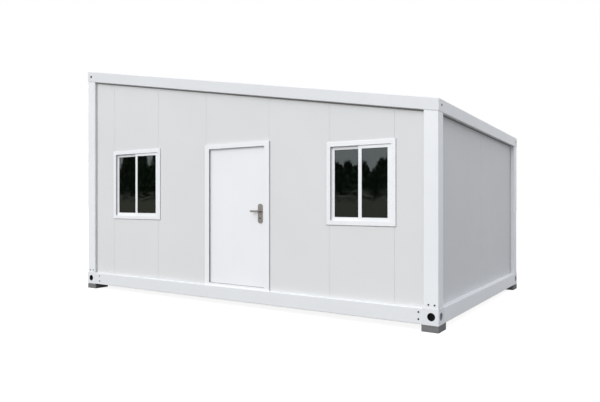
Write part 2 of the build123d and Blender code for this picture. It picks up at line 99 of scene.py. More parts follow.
half_length = cad_box[1].x
half_width = cad_box[1].y
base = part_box("corner_block_front_left")[0].z
rail_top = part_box("base_rail_front")[1].z
wall_front = -half_width + LONG_WALL_RECESS
front_left_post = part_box("corner_post_front_left")
left_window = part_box("left_window_frame")
right_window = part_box("right_window_frame")
door_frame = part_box("door_jambs")


def share_along(x):
    """Share of the length that lies between the high end and x."""
    return (x + half_length) / (2 * half_length)


def roof_height(x, y):
    """Height of the roof frame's top plane, which falls along the length and to the back."""
    across = (y + half_width) / (2 * half_width)
    return base + EAVE_LEFT + (EAVE_RIGHT - EAVE_LEFT) * share_along(x) - CROSS_FALL * across


def beam_depth(x):
    """Depth of the roof beams, which taper to the low end."""
    return BEAM_DEPTH_HIGH + (BEAM_DEPTH_LOW - BEAM_DEPTH_HIGH) * share_along(x)


def soffit_height(x, y):
    return roof_height(x, y) - beam_depth(x)


# Shader building
def node(tree, kind, inputs=None, **settings):
    """Adds a node. inputs maps a socket's name or index to a value or to another node's output."""
    made = tree.nodes.new(kind)
    for name, value in settings.items():
        setattr(made, name, value)
    for socket, value in (inputs or {}).items():
        if isinstance(value, bpy.types.NodeSocket):
            tree.links.new(value, made.inputs[socket])
        else:
            made.inputs[socket].default_value = value
    return made


def empty_material(name):
    """Material with an empty node tree."""
    material = bpy.data.materials.new(name)
    material.use_nodes = True
    material.node_tree.nodes.clear()
    return material, material.node_tree


def new_material(name):
    """Material with a Principled shader, and the object coordinates its patterns are laid out in."""
    material, tree = empty_material(name)
    shader = node(tree, "ShaderNodeBsdfPrincipled")
    node(tree, "ShaderNodeOutputMaterial", {"Surface": shader.outputs["BSDF"]})
    place = node(tree, "ShaderNodeTexCoord").outputs["Object"]
    return material, tree, shader, place


def noise(tree, place, scale, detail=2.0, stretch=None):
    """Noise of that many features a metre; stretch scales the three axes first."""
    if stretch:
        place = node(tree, "ShaderNodeMapping", {"Vector": place, "Scale": stretch}).outputs["Vector"]
    made = node(tree, "ShaderNodeTexNoise", {"Vector": place, "Scale": scale, "Detail": detail})
    return made.outputs["Fac"]


def spread(tree, value, start, end, to_start=0.0, to_end=1.0):
    """Value taken from one range to another and held at its ends."""
    made = node(
        tree, "ShaderNodeMapRange",
        {"Value": value, "From Min": start, "From Max": end, "To Min": to_start, "To Max": to_end},
    )
    return made.outputs["Result"]


def math_node(tree, operation, first, second=0.0):
    return node(tree, "ShaderNodeMath", {0: first, 1: second}, operation=operation).outputs["Value"]


def mix(tree, factor, first, second):
    """Colour between first and second."""
    first = (*first, 1.0) if isinstance(first, tuple) else first
    second = (*second, 1.0) if isinstance(second, tuple) else second
    made = node(tree, "ShaderNodeMix", {0: factor, 6: first, 7: second}, data_type="RGBA")
    return made.outputs[2]


def tone(colour, factor):
    return tuple(min(1.0, channel * factor) for channel in colour)


def bump(tree, shader, height, depth):
    made = node(tree, "ShaderNodeBump", {"Strength": 1.0, "Distance": depth, "Height": height})
    tree.links.new(made.outputs["Normal"], shader.inputs["Normal"])


# Dust on the paint: its colour, how high it splashes and how much of it covers at the foot
DUST = (0.36, 0.33, 0.29)
SPLASH_TOP = 0.55
SPLASH_COVER = 0.03


def painted(name, colour, roughness, peel_scale=380.0, peel_depth=0.00006, shade=0.03, sheen=0.5):
    """Paint on metal: faint clouds of tone, uneven gloss, orange peel, and a little dust low down."""
    material, tree, shader, place = new_material(name)
    shader.inputs["Specular IOR Level"].default_value = sheen
    clouds = noise(tree, place, 1.1, 4.0)
    paint = mix(tree, spread(tree, clouds, 0.3, 0.7), tone(colour, 1.0 - shade), colour)
    height = node(tree, "ShaderNodeSeparateXYZ", {"Vector": place}).outputs["Z"]
    splash = math_node(
        tree, "MULTIPLY",
        spread(tree, height, 0.0, SPLASH_TOP, SPLASH_COVER, 0.0),
        spread(tree, noise(tree, place, 22.0, 6.0), 0.42, 0.72),
    )
    tree.links.new(mix(tree, splash, paint, DUST), shader.inputs["Base Color"])
    gloss = spread(tree, noise(tree, place, 9.0, 5.0), 0.3, 0.7, roughness - 0.05, roughness + 0.06)
    tree.links.new(gloss, shader.inputs["Roughness"])
    bump(tree, shader, noise(tree, place, peel_scale, 1.0), peel_depth)
    return material


def plastic(name, colour, roughness):
    """Moulded or extruded plastic: fine grain, slight yellowing in patches and small scuffs."""
    material, tree, shader, place = new_material(name)
    patches = spread(tree, noise(tree, place, 3.0, 3.0), 0.35, 0.65)
    body = mix(tree, patches, tone(colour, 0.975), colour)
    scuffs = spread(tree, noise(tree, place, 55.0, 8.0, (1.0, 1.0, 0.2)), 0.62, 0.78, 0.0, 0.12)
    tree.links.new(mix(tree, scuffs, body, tone(colour, 0.7)), shader.inputs["Base Color"])
    gloss = spread(tree, noise(tree, place, 40.0, 4.0), 0.3, 0.7, roughness - 0.04, roughness + 0.08)
    tree.links.new(gloss, shader.inputs["Roughness"])
    bump(tree, shader, noise(tree, place, 900.0, 1.0), 0.00002)
    return material


def rubber(name, colour, sheen=0.5):
    """Dull rubber with a bloom in patches."""
    material, tree, shader, place = new_material(name)
    shader.inputs["Specular IOR Level"].default_value = sheen
    bloom = spread(tree, noise(tree, place, 70.0, 5.0), 0.4, 0.75, 0.0, 0.5)
    tree.links.new(mix(tree, bloom, colour, tone(colour, 2.2)), shader.inputs["Base Color"])
    tree.links.new(spread(tree, bloom, 0.0, 0.5, 0.55, 0.8), shader.inputs["Roughness"])
    bump(tree, shader, noise(tree, place, 1500.0, 2.0), 0.00004)
    return material


def brushed(name, colour, roughness, stretch):
    """Satin metal, brushed along the axis that stretch draws out."""
    material, tree, shader, place = new_material(name)
    lines = noise(tree, place, 900.0, 3.0, stretch)
    handled = spread(tree, noise(tree, place, 28.0, 4.0), 0.35, 0.7)
    metal = mix(tree, spread(tree, lines, 0.3, 0.7), tone(colour, 0.86), colour)
    tree.links.new(mix(tree, handled, metal, tone(colour, 0.9)), shader.inputs["Base Color"])
    gloss = spread(tree, lines, 0.2, 0.8, roughness - 0.08, roughness + 0.1)
    tree.links.new(gloss, shader.inputs["Roughness"])
    shader.inputs["Metallic"].default_value = 1.0
    bump(tree, shader, lines, 0.00002)
    return material


def galvanised(name, colour):
    """Hot-dip zinc: flat crystals of differing tone, with dull white patches."""
    material, tree, shader, place = new_material(name)
    crystals = node(tree, "ShaderNodeTexVoronoi", {"Vector": place, "Scale": 95.0})
    grain = node(tree, "ShaderNodeSeparateColor", {"Color": crystals.outputs["Color"]}).outputs["Red"]
    zinc = mix(tree, grain, tone(colour, 0.82), tone(colour, 1.1))
    dull = spread(tree, noise(tree, place, 6.0, 5.0), 0.5, 0.75, 0.0, 0.5)
    tree.links.new(mix(tree, dull, zinc, tone(colour, 1.25)), shader.inputs["Base Color"])
    tree.links.new(spread(tree, grain, 0.0, 1.0, 0.36, 0.58), shader.inputs["Roughness"])
    shader.inputs["Metallic"].default_value = 0.85
    bump(tree, shader, grain, 0.00003)
    return material


def cast_block(name, colour):
    """Cast block: faint level layers, speckle, and small pits."""
    material, tree, shader, place = new_material(name)
    layers = noise(tree, place, 46.0, 4.0, (0.12, 0.12, 1.0))
    grit = noise(tree, place, 420.0, 5.0)
    body = mix(tree, spread(tree, layers, 0.3, 0.7), tone(colour, 0.82), tone(colour, 1.08))
    speckled = mix(tree, spread(tree, grit, 0.45, 0.7), body, tone(colour, 0.7))
    tree.links.new(speckled, shader.inputs["Base Color"])
    shader.inputs["Roughness"].default_value = 0.85
    shader.inputs["Specular IOR Level"].default_value = 0.2
    pits = node(tree, "ShaderNodeTexVoronoi", {"Vector": place, "Scale": 130.0}).outputs["Distance"]
    relief = math_node(tree, "ADD", spread(tree, pits, 0.0, 0.22), math_node(tree, "MULTIPLY", grit, 0.6))
    bump(tree, shader, relief, 0.0006)
    return material


def tinted_glass(name, colour):
    """Dark float glass: it reflects, lets a little through, and has a faint film of dust."""
    material, tree, shader, place = new_material(name)
    film = spread(tree, noise(tree, place, 5.0, 6.0), 0.45, 0.75)
    tree.links.new(mix(tree, film, colour, tone(colour, 1.8)), shader.inputs["Base Color"])
    tree.links.new(spread(tree, film, 0.0, 1.0, 0.015, 0.05), shader.inputs["Roughness"])
    shader.inputs["IOR"].default_value = 2.17
    shader.inputs["Specular Tint"].default_value = (0.87, 0.99, 1.0, 1.0)
    shader.inputs["Alpha"].default_value = 0.80
    bump(tree, shader, noise(tree, place, 2.6, 1.0), 0.0003)
    return material


PLANK_LENGTH = 1.2
PLANK_WIDTH = 0.18
PLANK_JOINT = 0.0016


def floor_planks(name, colour):
    """Printed floor covering: planks along the length with grain and fine joints."""
    material, tree, shader, place = new_material(name)
    planks = node(
        tree, "ShaderNodeTexBrick",
        {
            "Vector": place, "Scale": 1.0,
            "Brick Width": PLANK_LENGTH, "Row Height": PLANK_WIDTH, "Mortar Size": PLANK_JOINT,
            "Color1": (*tone(colour, 0.85), 1.0), "Color2": (*tone(colour, 1.15), 1.0),
            "Mortar": (*tone(colour, 0.35), 1.0),
        },
    )
    grain = noise(tree, place, 60.0, 8.0, (0.06, 1.0, 1.0))
    streaks = spread(tree, grain, 0.35, 0.7, 0.0, 0.55)
    tree.links.new(
        mix(tree, streaks, planks.outputs["Color"], tone(colour, 0.6)), shader.inputs["Base Color"],
    )
    tree.links.new(spread(tree, grain, 0.3, 0.7, 0.42, 0.6), shader.inputs["Roughness"])
    bump(tree, shader, math_node(tree, "SUBTRACT", grain, planks.outputs["Fac"]), 0.0004)
    return material


finishes = {
    "frame_paint": painted("frame_paint", (0.717, 0.728, 0.747), 0.38),
    # The next two are the frame paint made lighter: painted light on the rails, the end beams and the posts
    "lit_rail_paint": painted("lit_rail_paint", (0.752, 0.764, 0.786), 0.38),
    "lit_post_paint": painted("lit_post_paint", (0.808, 0.82, 0.842), 0.36),
    "block_paint": painted("block_paint", (0.74, 0.755, 0.78), 0.38),
    "panel_paint": painted("panel_paint", (0.70, 0.703, 0.708), 0.55, 260.0, 0.00010, sheen=0.3),
    # The panel paint made darker: painted shade on the end walls
    "shaded_end_panel_paint": painted("shaded_end_panel_paint", (0.655, 0.662, 0.674), 0.55, 260.0, 0.00010, sheen=0.3),
    "door_paint": painted("door_paint", (0.834, 0.842, 0.859), 0.34),
    "roof_paint": painted("roof_paint", (0.54, 0.55, 0.56), 0.42, shade=0.10),
    "ceiling_paint": painted("ceiling_paint", (0.78, 0.78, 0.77), 0.5),
    "window_plastic": plastic("window_plastic", (0.84, 0.849, 0.866), 0.28),
    "window_glass": tinted_glass("window_glass", (0.002, 0.003, 0.002)),
    "handle_metal": brushed("handle_metal", (0.35, 0.332, 0.31), 0.36, (1.0, 1.0, 0.03)),
    "hinge_metal": brushed("hinge_metal", (0.50, 0.50, 0.50), 0.34, (1.0, 1.0, 0.05)),
    "galvanised": galvanised("galvanised", (0.56, 0.58, 0.60)),
    "floor_board": floor_planks("floor_board", (0.30, 0.25, 0.20)),
    "foot_block": cast_block("foot_block", (0.205, 0.205, 0.21)),
    "sealant": plastic("sealant", (0.60, 0.605, 0.61), 0.5),
    "seal_rubber": rubber("seal_rubber", (0.018, 0.018, 0.019)),
    # A grey rubber that also paints the shade in reveals and along frame edges
    "shade_seal_grey": rubber("shade_seal_grey", (0.16, 0.16, 0.165)),
    # Near black: painted shade inside the hollow corner blocks, and the real black of the roof frame's
    # plugs
    "hole_shade_and_plug_black": rubber("hole_shade_and_plug_black", (0.005, 0.005, 0.005), 0.1),
    # A grey rubber that also paints the shade under the beams and in the wall corners
    "shade_joint_seal": rubber("shade_joint_seal", (0.25, 0.242, 0.228), 0.2),
    # Grey: painted shade on the walls of the holes in the ends
    "hole_wall_shade_grey": rubber("hole_wall_shade_grey", (0.27, 0.28, 0.30)),
    # Zinc darkened to near black: painted shade on the bolt heads and in the keyholes
    "bolt_shade_black": galvanised("bolt_shade_black", (0.022, 0.022, 0.023)),
    "screw_metal": galvanised("screw_metal", (0.40, 0.41, 0.42)),
}

# Copies of a slot's finish, by the start of a node's name: the first that fits is taken. The posts, rails
# and end beams get the frame paint made lighter, and the end walls get the panel paint made darker: painted
# light and shade for how the light falls on them.
lit_and_shaded_copies = {
    "corner_post": "lit_post_paint", "corner_block": "block_paint",
    "base_rail_left": "lit_post_paint", "base_rail_right": "lit_post_paint", "base_rail": "lit_rail_paint",
    "roof_beam_left": "lit_rail_paint", "roof_beam_right": "lit_rail_paint",
    "left_wall": "shaded_end_panel_paint", "right_wall": "shaded_end_panel_paint",
}


def finish_of(name, slot):
    """Finish of a CAD node: its slot's, or for a few families of nodes a lighter or darker copy of it that
    paints light and shade.
    """
    for family, shade in lit_and_shaded_copies.items():
        if name.startswith(family):
            return shade
    return slot


for subpart in frame["record"]["subparts"]:
    shown = frame["nodes"][subpart["node"]]
    finish = finish_of(subpart["node"], subpart["material_slot"])
    shown.data.materials.clear()
    shown.data.materials.append(finishes[finish])


# Mesh building
def piece(name, bm, finish, body="root"):
    """Turns a finished bmesh into a piece that rides on a CAD body."""
    bmesh.ops.recalc_face_normals(bm, faces=bm.faces)
    mesh = bpy.data.meshes.new(name)
    bm.to_mesh(mesh)
    bm.free()
    mesh.materials.append(finishes[finish])
    made = bpy.data.objects.new(name, mesh)
    bpy.context.scene.collection.objects.link(made)
    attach(made, body)
    return made


def turned(bm, profile, place, out, segments=24):
    """Adds a turned solid on place, facing out. profile lists (radius, height) from the seat up."""
    turn = Vector(out).to_track_quat("Z", "Y").to_matrix().to_4x4()
    matrix = Matrix.Translation(place) @ turn
    angles = [2 * math.pi * step / segments for step in range(segments)]
    rings = [
        [bm.verts.new(matrix @ Vector((r * math.cos(a), r * math.sin(a), rise))) for a in angles]
        for r, rise in profile
    ]
    for lower, upper in zip(rings, rings[1:]):
        for step in range(segments):
            after = (step + 1) % segments
            bm.faces.new((lower[step], lower[after], upper[after], upper[step]))
    bm.faces.new(rings[0][::-1])
    bm.faces.new(rings[-1])


def hexagon_head(bm, washer, head, place, out, segments=24):
    """Adds a hexagon head with chamfered rim on a round washer."""
    turned(bm, washer, place, out, segments)
    turned(bm, head, place, out, segments=6)


def bead(bm, start, end, out, width, rise, steps=6):
    """Adds a half-round bead from start to end, on its flat side, crowned towards out."""
    start, end, out = Vector(start), Vector(end), Vector(out).normalized()
    across = (end - start).normalized().cross(out) * width / 2
    arc = [math.pi * step / steps for step in range(steps + 1)]
    section = [across * math.cos(a) + out * rise * math.sin(a) for a in arc]
    rows = [[bm.verts.new(point + offset) for offset in section] for point in (start, end)]
    for step in range(len(section)):
        after = (step + 1) % len(section)
        bm.faces.new((rows[0][step], rows[0][after], rows[1][after], rows[1][step]))
    bm.faces.new(rows[0])
    bm.faces.new(rows[1][::-1])


def strip_round(bm, x_range, z_range, y, profile):
    """Adds a strip mitred round a rectangle at y. profile is a closed list of (inset, rise to -Y)."""
    loops = []
    for inset, rise in profile:
        left, right = x_range[0] + inset, x_range[1] - inset
        bottom, top = z_range[0] + inset, z_range[1] - inset
        corners = ((left, bottom), (right, bottom), (right, top), (left, top))
        loops.append([bm.verts.new((x, y - rise, z)) for x, z in corners])
    for loop, following in zip(loops, loops[1:] + loops[:1]):
        for step in range(4):
            after = (step + 1) % 4
            bm.faces.new((loop[step], loop[after], following[after], following[step]))


# Bolts at the foot of each post and where the long rails meet the corner blocks; their zinc is darkened to
# near black, painted shade on the small heads
BOLT_WASHER = [(0.0104, -0.001), (0.0104, 0.0014), (0.0096, 0.0020)]
BOLT_HEAD = [(0.0086, 0.0016), (0.0086, 0.0060), (0.0074, 0.0071)]
POST_BOLT_RISE = 0.226
RAIL_BOLT_RISES = (0.056, 0.135)
# Each end's direction, the insets of the two bolts on its posts, and the inset of those on the rails
BOLT_INSETS = ((-1, (0.060, 0.135), 0.300), (1, (0.047, 0.117), 0.233))
bolts = bmesh.new()
for side in (-1, 1):
    out = (0, side, 0)
    for end, post_insets, rail_inset in BOLT_INSETS:
        for inset in post_insets:
            place = (end * (half_length - inset), -side * front_left_post[0].y, base + POST_BOLT_RISE)
            hexagon_head(bolts, BOLT_WASHER, BOLT_HEAD, place, out)
        for rise in RAIL_BOLT_RISES:
            place = (end * (half_length - rail_inset), side * half_width, base + rise)
            hexagon_head(bolts, BOLT_WASHER, BOLT_HEAD, place, out)
piece("frame_bolts", bolts, "bolt_shade_black")

# Liners that sleeve the holes of the corner blocks and close them at the back: painted shade for the
# hollows. Those in the long sides are near black, partly the dark unpainted inside of the blocks; those in
# the ends are grey, painted shade on the holes' walls.
SHADE_LINER = [
    (0.0500, -0.0345), (0.0500, -0.0086), (0.0458, -0.0086), (0.0458, -0.0006), (0.0450, -0.0006),
    (0.0448, -0.0320),
]
shade_liners = bmesh.new()
end_shade_liners = bmesh.new()
for end in (-1, 1):
    for side in (-1, 1):
        x, y, z = end * half_length, side * half_width, base + HOLE_RISE
        turned(shade_liners, SHADE_LINER, (x - end * HOLE_INSET, y, z), (0, side, 0), segments=40)
        turned(end_shade_liners, SHADE_LINER, (x, y - side * HOLE_INSET, z), (end, 0, 0), segments=40)
piece("hole_shade_liners", shade_liners, "hole_shade_and_plug_black")
piece("end_hole_shade_liners", end_shade_liners, "hole_wall_shade_grey")

# Plugs in the fixing holes of the roof frame: one in each long beam, two in each end beam
PLUG_PROFILE = [(1.0, -0.001), (1.0, 0.0010), (0.83, 0.0022), (0.72, 0.0012), (0.28, 0.0016)]
SIDE_PLUG_RADIUS = 0.0200
SIDE_PLUG_INSET = 0.082
END_PLUG_RADIUS = 0.0145
END_PLUG_INSETS = (0.104, 0.076)
END_PLUG_LIFT = 0.008


def plug(bm, radius, place, out):
    """Adds a cap with a raised rim. Radii in its profile are shares of radius."""
    turned(bm, [(share * radius, rise) for share, rise in PLUG_PROFILE], place, out)


plugs = bmesh.new()
for end in (-1, 1):
    x, y = end * (half_length - SIDE_PLUG_INSET), end * half_width
    plug(plugs, SIDE_PLUG_RADIUS, (x, y, roof_height(x, y) - beam_depth(x) / 2), (0, end, 0))
    x = end * half_length
    for y in (-half_width + END_PLUG_INSETS[0], half_width - END_PLUG_INSETS[1]):
        z = roof_height(x, y) - beam_depth(x) / 2 + END_PLUG_LIFT
        plug(plugs, END_PLUG_RADIUS, (x, y, z), (end, 0, 0))
piece("frame_plugs", plugs, "hole_shade_and_plug_black")

# Sealant in the panel joints: the seat is how deep it lies in the joint
BEAD_WIDTH = 0.0030
BEAD_RISE = 0.0012
BEAD_SEAT = 0.0022
front_seams = [
    (left_window[0].x + LEFT_COVERS[0], left_window),
    (left_window[1].x - LEFT_COVERS[1], left_window),
    (door_frame[0].x + DOOR_LIP, door_frame),
    (door_frame[1].x - DOOR_LIP, door_frame),
    (right_window[0].x + RIGHT_COVERS[0], right_window),
    (right_window[1].x - RIGHT_COVERS[1], right_window),
]
sealant = bmesh.new()
for x, unit in front_seams:
    y = wall_front + BEAD_SEAT
    spans = [(unit[1].z, soffit_height(x, y))]
    if unit is not door_frame:
        spans.append((rail_top, unit[0].z))
    for bottom, top in spans:
        bead(sealant, (x, y, bottom), (x, y, top), (0, -1, 0), BEAD_WIDTH, BEAD_RISE)
for end in (-1, 1):
    x = end * (half_length - END_WALL_RECESS - BEAD_SEAT)
    bead(sealant, (x, 0, rail_top), (x, 0, soffit_height(x, 0)), (end, 0, 0), BEAD_WIDTH, BEAD_RISE)
back_low, back_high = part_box("back_wall_panels")
for step in range(1, BACK_PANELS):
    x = back_low.x + (back_high.x - back_low.x) * step / BACK_PANELS
    y = half_width - LONG_WALL_RECESS - BEAD_SEAT
    bead(sealant, (x, y, rail_top), (x, y, soffit_height(x, y)), (0, 1, 0), BEAD_WIDTH, BEAD_RISE)
piece("panel_sealant", sealant, "sealant")

# Grey seal where the walls meet the roof frame and the posts, dark enough to paint the shade under the
# beams and in the corners as well
SEAL_WIDTH = 0.016
SEAL_RISE = 0.008
CORNER_WIDTH = 0.011
CORNER_RISE = 0.005


def shade_seal_wall(bm, corners, out):
    """Seals a wall under its beam and up its posts, with a grey bead that is also painted shade. corners
    are the (x, y) where it meets the posts.
    """
    ends = [(x, y, soffit_height(x, y) - SEAL_WIDTH / 2) for x, y in corners]
    bead(bm, ends[0], ends[1], out, SEAL_WIDTH, SEAL_RISE)
    start, end = Vector(corners[0]), Vector(corners[1])
    inward = (end - start).normalized() * CORNER_WIDTH / 2
    for x, y in (start + inward, end - inward):
        top = soffit_height(x, y) - SEAL_WIDTH
        bead(bm, (x, y, rail_top), (x, y, top), out, CORNER_WIDTH, CORNER_RISE)


joint = bmesh.new()
post_edge = front_left_post[1]
for side in (-1, 1):
    y = side * (half_width - LONG_WALL_RECESS)
    shade_seal_wall(joint, ((post_edge.x, y), (-post_edge.x, y)), (0, side, 0))
    x = side * (half_length - END_WALL_RECESS)
    shade_seal_wall(joint, ((x, post_edge.y), (x, -post_edge.y)), (side, 0, 0))
piece("wall_edge_shade_seal", joint, "shade_joint_seal")

# Grey seal between the wall and the frames of windows and door: up both sides, and under the windows. It is
# dark enough to paint the shade along the frames' edges as well.
AROUND_WIDTH = 0.005
AROUND_RISE = 0.003
around = bmesh.new()
for unit in (left_window, right_window, door_frame):
    foot = rail_top if unit is door_frame else unit[0].z - AROUND_WIDTH
    lines = []
    for x in (unit[0].x - AROUND_WIDTH / 2, unit[1].x + AROUND_WIDTH / 2):
        lines.append(((x, wall_front, foot), (x, wall_front, unit[1].z)))
    if unit is not door_frame:
        z = unit[0].z - AROUND_WIDTH / 2
        lines.append(((unit[0].x, wall_front, z), (unit[1].x, wall_front, z)))
    for start, end in lines:
        bead(around, start, end, (0, -1, 0), AROUND_WIDTH, AROUND_RISE)
piece("frame_edge_shade_seal", around, "shade_seal_grey")

# Glazing gaskets on both faces of every pane, and grey brush strips in the window tracks, which also paint
# the shade in the reveals at the left and top of the sashes
GASKET = [(0.0, -0.0004), (0.0, 0.0042), (0.0022, 0.0046), (0.0046, 0.0022), (0.0050, -0.0004)]
INNER_GASKET = [(inset, -rise) for inset, rise in GASKET]
BRUSH_RISE = 0.0022
RIM_BRUSH_WIDTH = 0.006
LANE_SHIFT = 0.002
LANE_TRIM = 0.008
FREE_END_GAP = 0.004
gaskets = bmesh.new()
shade_brushes = bmesh.new()
for unit in (left_window, right_window):
    left, right = unit[0].x + WINDOW_FACE, unit[1].x - WINDOW_FACE
    bottom, top = unit[0].z + WINDOW_FACE, unit[1].z - WINDOW_FACE
    pane_z = (bottom + SASH_RAIL, top - SASH_RAIL)
    sash_width = (right - left + SASH_MEETING) / 2
    outer_sash = unit[0].y + SASH_RECESS
    inner_sash = outer_sash + SASH_THICKNESS + TRACK_GAP
    left_pane = (left + SASH_STILE, left + sash_width - SASH_MEETING)
    right_pane = (right - sash_width + SASH_MEETING, right - SASH_STILE)
    for pane_x, sash in ((left_pane, inner_sash), (right_pane, outer_sash)):
        glass = sash + GLASS_SET_IN
        strip_round(gaskets, pane_x, pane_z, glass, GASKET)
        strip_round(gaskets, pane_x, pane_z, glass + GLASS_THICKNESS, INNER_GASKET)
    lane = (outer_sash + inner_sash) / 2 - LANE_SHIFT
    lane_width = inner_sash - outer_sash - LANE_TRIM
    free_end = right - sash_width - FREE_END_GAP
    bead(shade_brushes, (left, lane, bottom), (left, lane, top), (1, 0, 0), lane_width, BRUSH_RISE)
    bead(shade_brushes, (left, lane, top), (free_end, lane, top), (0, 0, -1), lane_width, BRUSH_RISE)
    rim = unit[0].y + SASH_RECESS / 2
    bead(shade_brushes, (left, rim, top), (right, rim, top), (0, 0, -1), RIM_BRUSH_WIDTH, BRUSH_RISE)
piece("glazing_gaskets", gaskets, "seal_rubber")
piece("window_shade_brushes", shade_brushes, "shade_seal_grey")

# Seals round the door: a bead behind the stops, a grey facing on the stops and a grey strip at the foot;
# the facing and the strip paint the shade in the door's reveals and under the leaf
DOOR_SEAL_INSET = 0.006
DOOR_SEAL_WIDTH = 0.008
DOOR_SEAL_RISE = 0.0036
DOOR_SEAL_TOP_GAP = 0.002
FACING_RISE = 0.0016
FACING_TRIM = 0.006
FACING_SHIFT = 0.002
FOOT_SET_BACK = 0.005
FOOT_WIDTH = 0.009
FOOT_RISE = 0.005
leaf_low, leaf_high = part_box("door_leaf")
door_front = door_frame[0].y
stop_left = door_frame[0].x + JAMB_FACE
stop_right = door_frame[1].x - JAMB_FACE
stop_top = door_frame[1].z - HEAD_FACE
stop_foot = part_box("door_threshold")[1].z
stop_back = door_front + STOP_DEPTH
door_seal = bmesh.new()
seal_top = leaf_high.z - DOOR_SEAL_TOP_GAP
head_line = leaf_high.z - DOOR_SEAL_INSET
seal_lines = [
    ((x, stop_back, stop_foot), (x, stop_back, seal_top))
    for x in (leaf_low.x + DOOR_SEAL_INSET, leaf_high.x - DOOR_SEAL_INSET)
]
seal_lines.append(((leaf_low.x, stop_back, head_line), (leaf_high.x, stop_back, head_line)))
for start, end in seal_lines:
    bead(door_seal, start, end, (0, 1, 0), DOOR_SEAL_WIDTH, DOOR_SEAL_RISE)
piece("door_seal", door_seal, "seal_rubber")
stop_shade = bmesh.new()
middle = door_front + STOP_DEPTH / 2 + FACING_SHIFT
facing_width = STOP_DEPTH - FACING_TRIM
for x, inward in ((stop_left, 1), (stop_right, -1)):
    start, end = (x, middle, stop_foot), (x, middle, stop_top)
    bead(stop_shade, start, end, (inward, 0, 0), facing_width, FACING_RISE)
start, end = (stop_left, middle, stop_top), (stop_right, middle, stop_top)
bead(stop_shade, start, end, (0, 0, -1), facing_width, FACING_RISE)
foot_y = stop_back - FOOT_SET_BACK
start, end = (stop_left, foot_y, stop_foot), (stop_right, foot_y, stop_foot)
bead(stop_shade, start, end, (0, 0, 1), FOOT_WIDTH, FOOT_RISE)
piece("door_stop_shade_facing", stop_shade, "shade_seal_grey")

# Door furniture: lock cores in the keyholes, darkened to near black as painted shade, and screws in the
# plates
LOCK_RING = [(0.0105, -0.0004), (0.0105, 0.0010), (0.0092, 0.0018), (0.0070, 0.0012), (0.0068, 0.0004)]
LOCK_CORE = [(0.0059, -0.0070), (0.0059, 0.0006), (0.0050, 0.0014)]
PLATE_SCREW = [(0.0042, -0.0006), (0.0040, 0.0006), (0.0028, 0.0011), (0.0010, 0.0013)]
PLATE_SCREW_INSET = 0.020
plate_low, plate_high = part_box("door_handle_plates")
plate_x = (plate_low.x + plate_high.x) / 2
lock_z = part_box("door_lever")[1].z - LEVER_HEIGHT / 2 - KEYHOLE_DROP
cores = bmesh.new()
screws = bmesh.new()
for y, out in ((plate_low.y, (0, -1, 0)), (plate_high.y, (0, 1, 0))):
    turned(cores, LOCK_RING, (plate_x, y, lock_z), out, segments=32)
    turned(cores, LOCK_CORE, (plate_x, y, lock_z), out)
    for z in (plate_low.z + PLATE_SCREW_INSET, plate_high.z - PLATE_SCREW_INSET):
        turned(screws, PLATE_SCREW, (plate_x, y, z), out, segments=16)
piece("lock_cores", cores, "bolt_shade_black", "door")
piece("plate_screws", screws, "handle_metal", "door")

# Roof screws on the rib crests over the purlins
ROOF_WASHER = [(0.0100, -0.002), (0.0100, 0.0010), (0.0082, 0.0026)]
ROOF_HEAD = [(0.0062, 0.0022), (0.0062, 0.0068), (0.0050, 0.0078)]
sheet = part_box("roof_sheet")
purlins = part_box("roof_purlins")
purlin_count = 1 + round((purlins[1].x - purlins[0].x) / PURLIN_SPACING)
rib_count = int((sheet[1].y - sheet[0].y - RIB_MARGIN) // RIB_PITCH)
fall = Vector((2 * half_length, 0, EAVE_RIGHT - EAVE_LEFT)).normalized()
cross = Vector((0, 2 * half_width, -CROSS_FALL)).normalized()
roof_out = fall.cross(cross)
roof_screws = bmesh.new()
for row in range(purlin_count):
    x = PURLIN_SPACING * (row - (purlin_count - 1) / 2)
    for rib in range(rib_count):
        y = RIB_PITCH * (rib - (rib_count - 1) / 2)
        place = (x, y, roof_height(x, y) - RIB_TOP_DROP)
        hexagon_head(roof_screws, ROOF_WASHER, ROOF_HEAD, place, roof_out, segments=16)
piece("roof_screws", roof_screws, "screw_metal")


# Stage: floor, reflections, light and camera
FLOOR_REACH = 90.0
FLOOR_BOUNCE = (0.21, 0.21, 0.204)
FLOOR_GLOW = 0.90
FLOOR_GLOSS = 0.4
HORIZON_Y = -60.0
HORIZON_HEIGHT = 11.0
FIELD_Y = -34.0
FIELD_LIFT = 0.02
# The reflected trees: line of their tops as (x, height), and crowns as (spacing, height)
TREES_LEFT = (-66.0, 6.9)
TREES_RIGHT = (-36.0, 3.8)
TREE_CROWNS = ((4.3, 2.1), (1.3, 0.75), (0.45, 0.25))
TREE_SHIFT = 4.75
LEAF_DARK = (0.002, 0.003, 0.002)
LEAF_LIGHT = (0.07, 0.10, 0.06)
FAR_FIELD = (0.27, 0.27, 0.23)
NEAR_GROUND = (0.225, 0.21, 0.165)
SKY_TINT = (0.957, 0.985, 1.03)
SKY_LOW = 0.66
SKY_HIGH = 1.28
KEY_ENERGY = 1.71
KEY_COLOUR = (1.0, 0.99, 0.965)
KEY_ANGLE = 60.0
KEY_DIRECTION = (0.25, 1.0, -0.74)
CAMERA_PLACE = (5.121, -7.927, 1.453)
CAMERA_TILT = 90.0
CAMERA_TURN = 33.02
LENS = 33.84
SENSOR_WIDTH = 36.0
WHITE = (1.0, 1.0, 1.0, 1.0)


def stage_object(name, corners, material):
    """Adds a flat four-cornered card that belongs to the stage."""
    mesh = bpy.data.meshes.new(name)
    mesh.from_pydata(corners, [], [(0, 1, 2, 3)])
    mesh.materials.append(material)
    made = bpy.data.objects.new(name, mesh)
    bpy.context.scene.collection.objects.link(made)
    return made


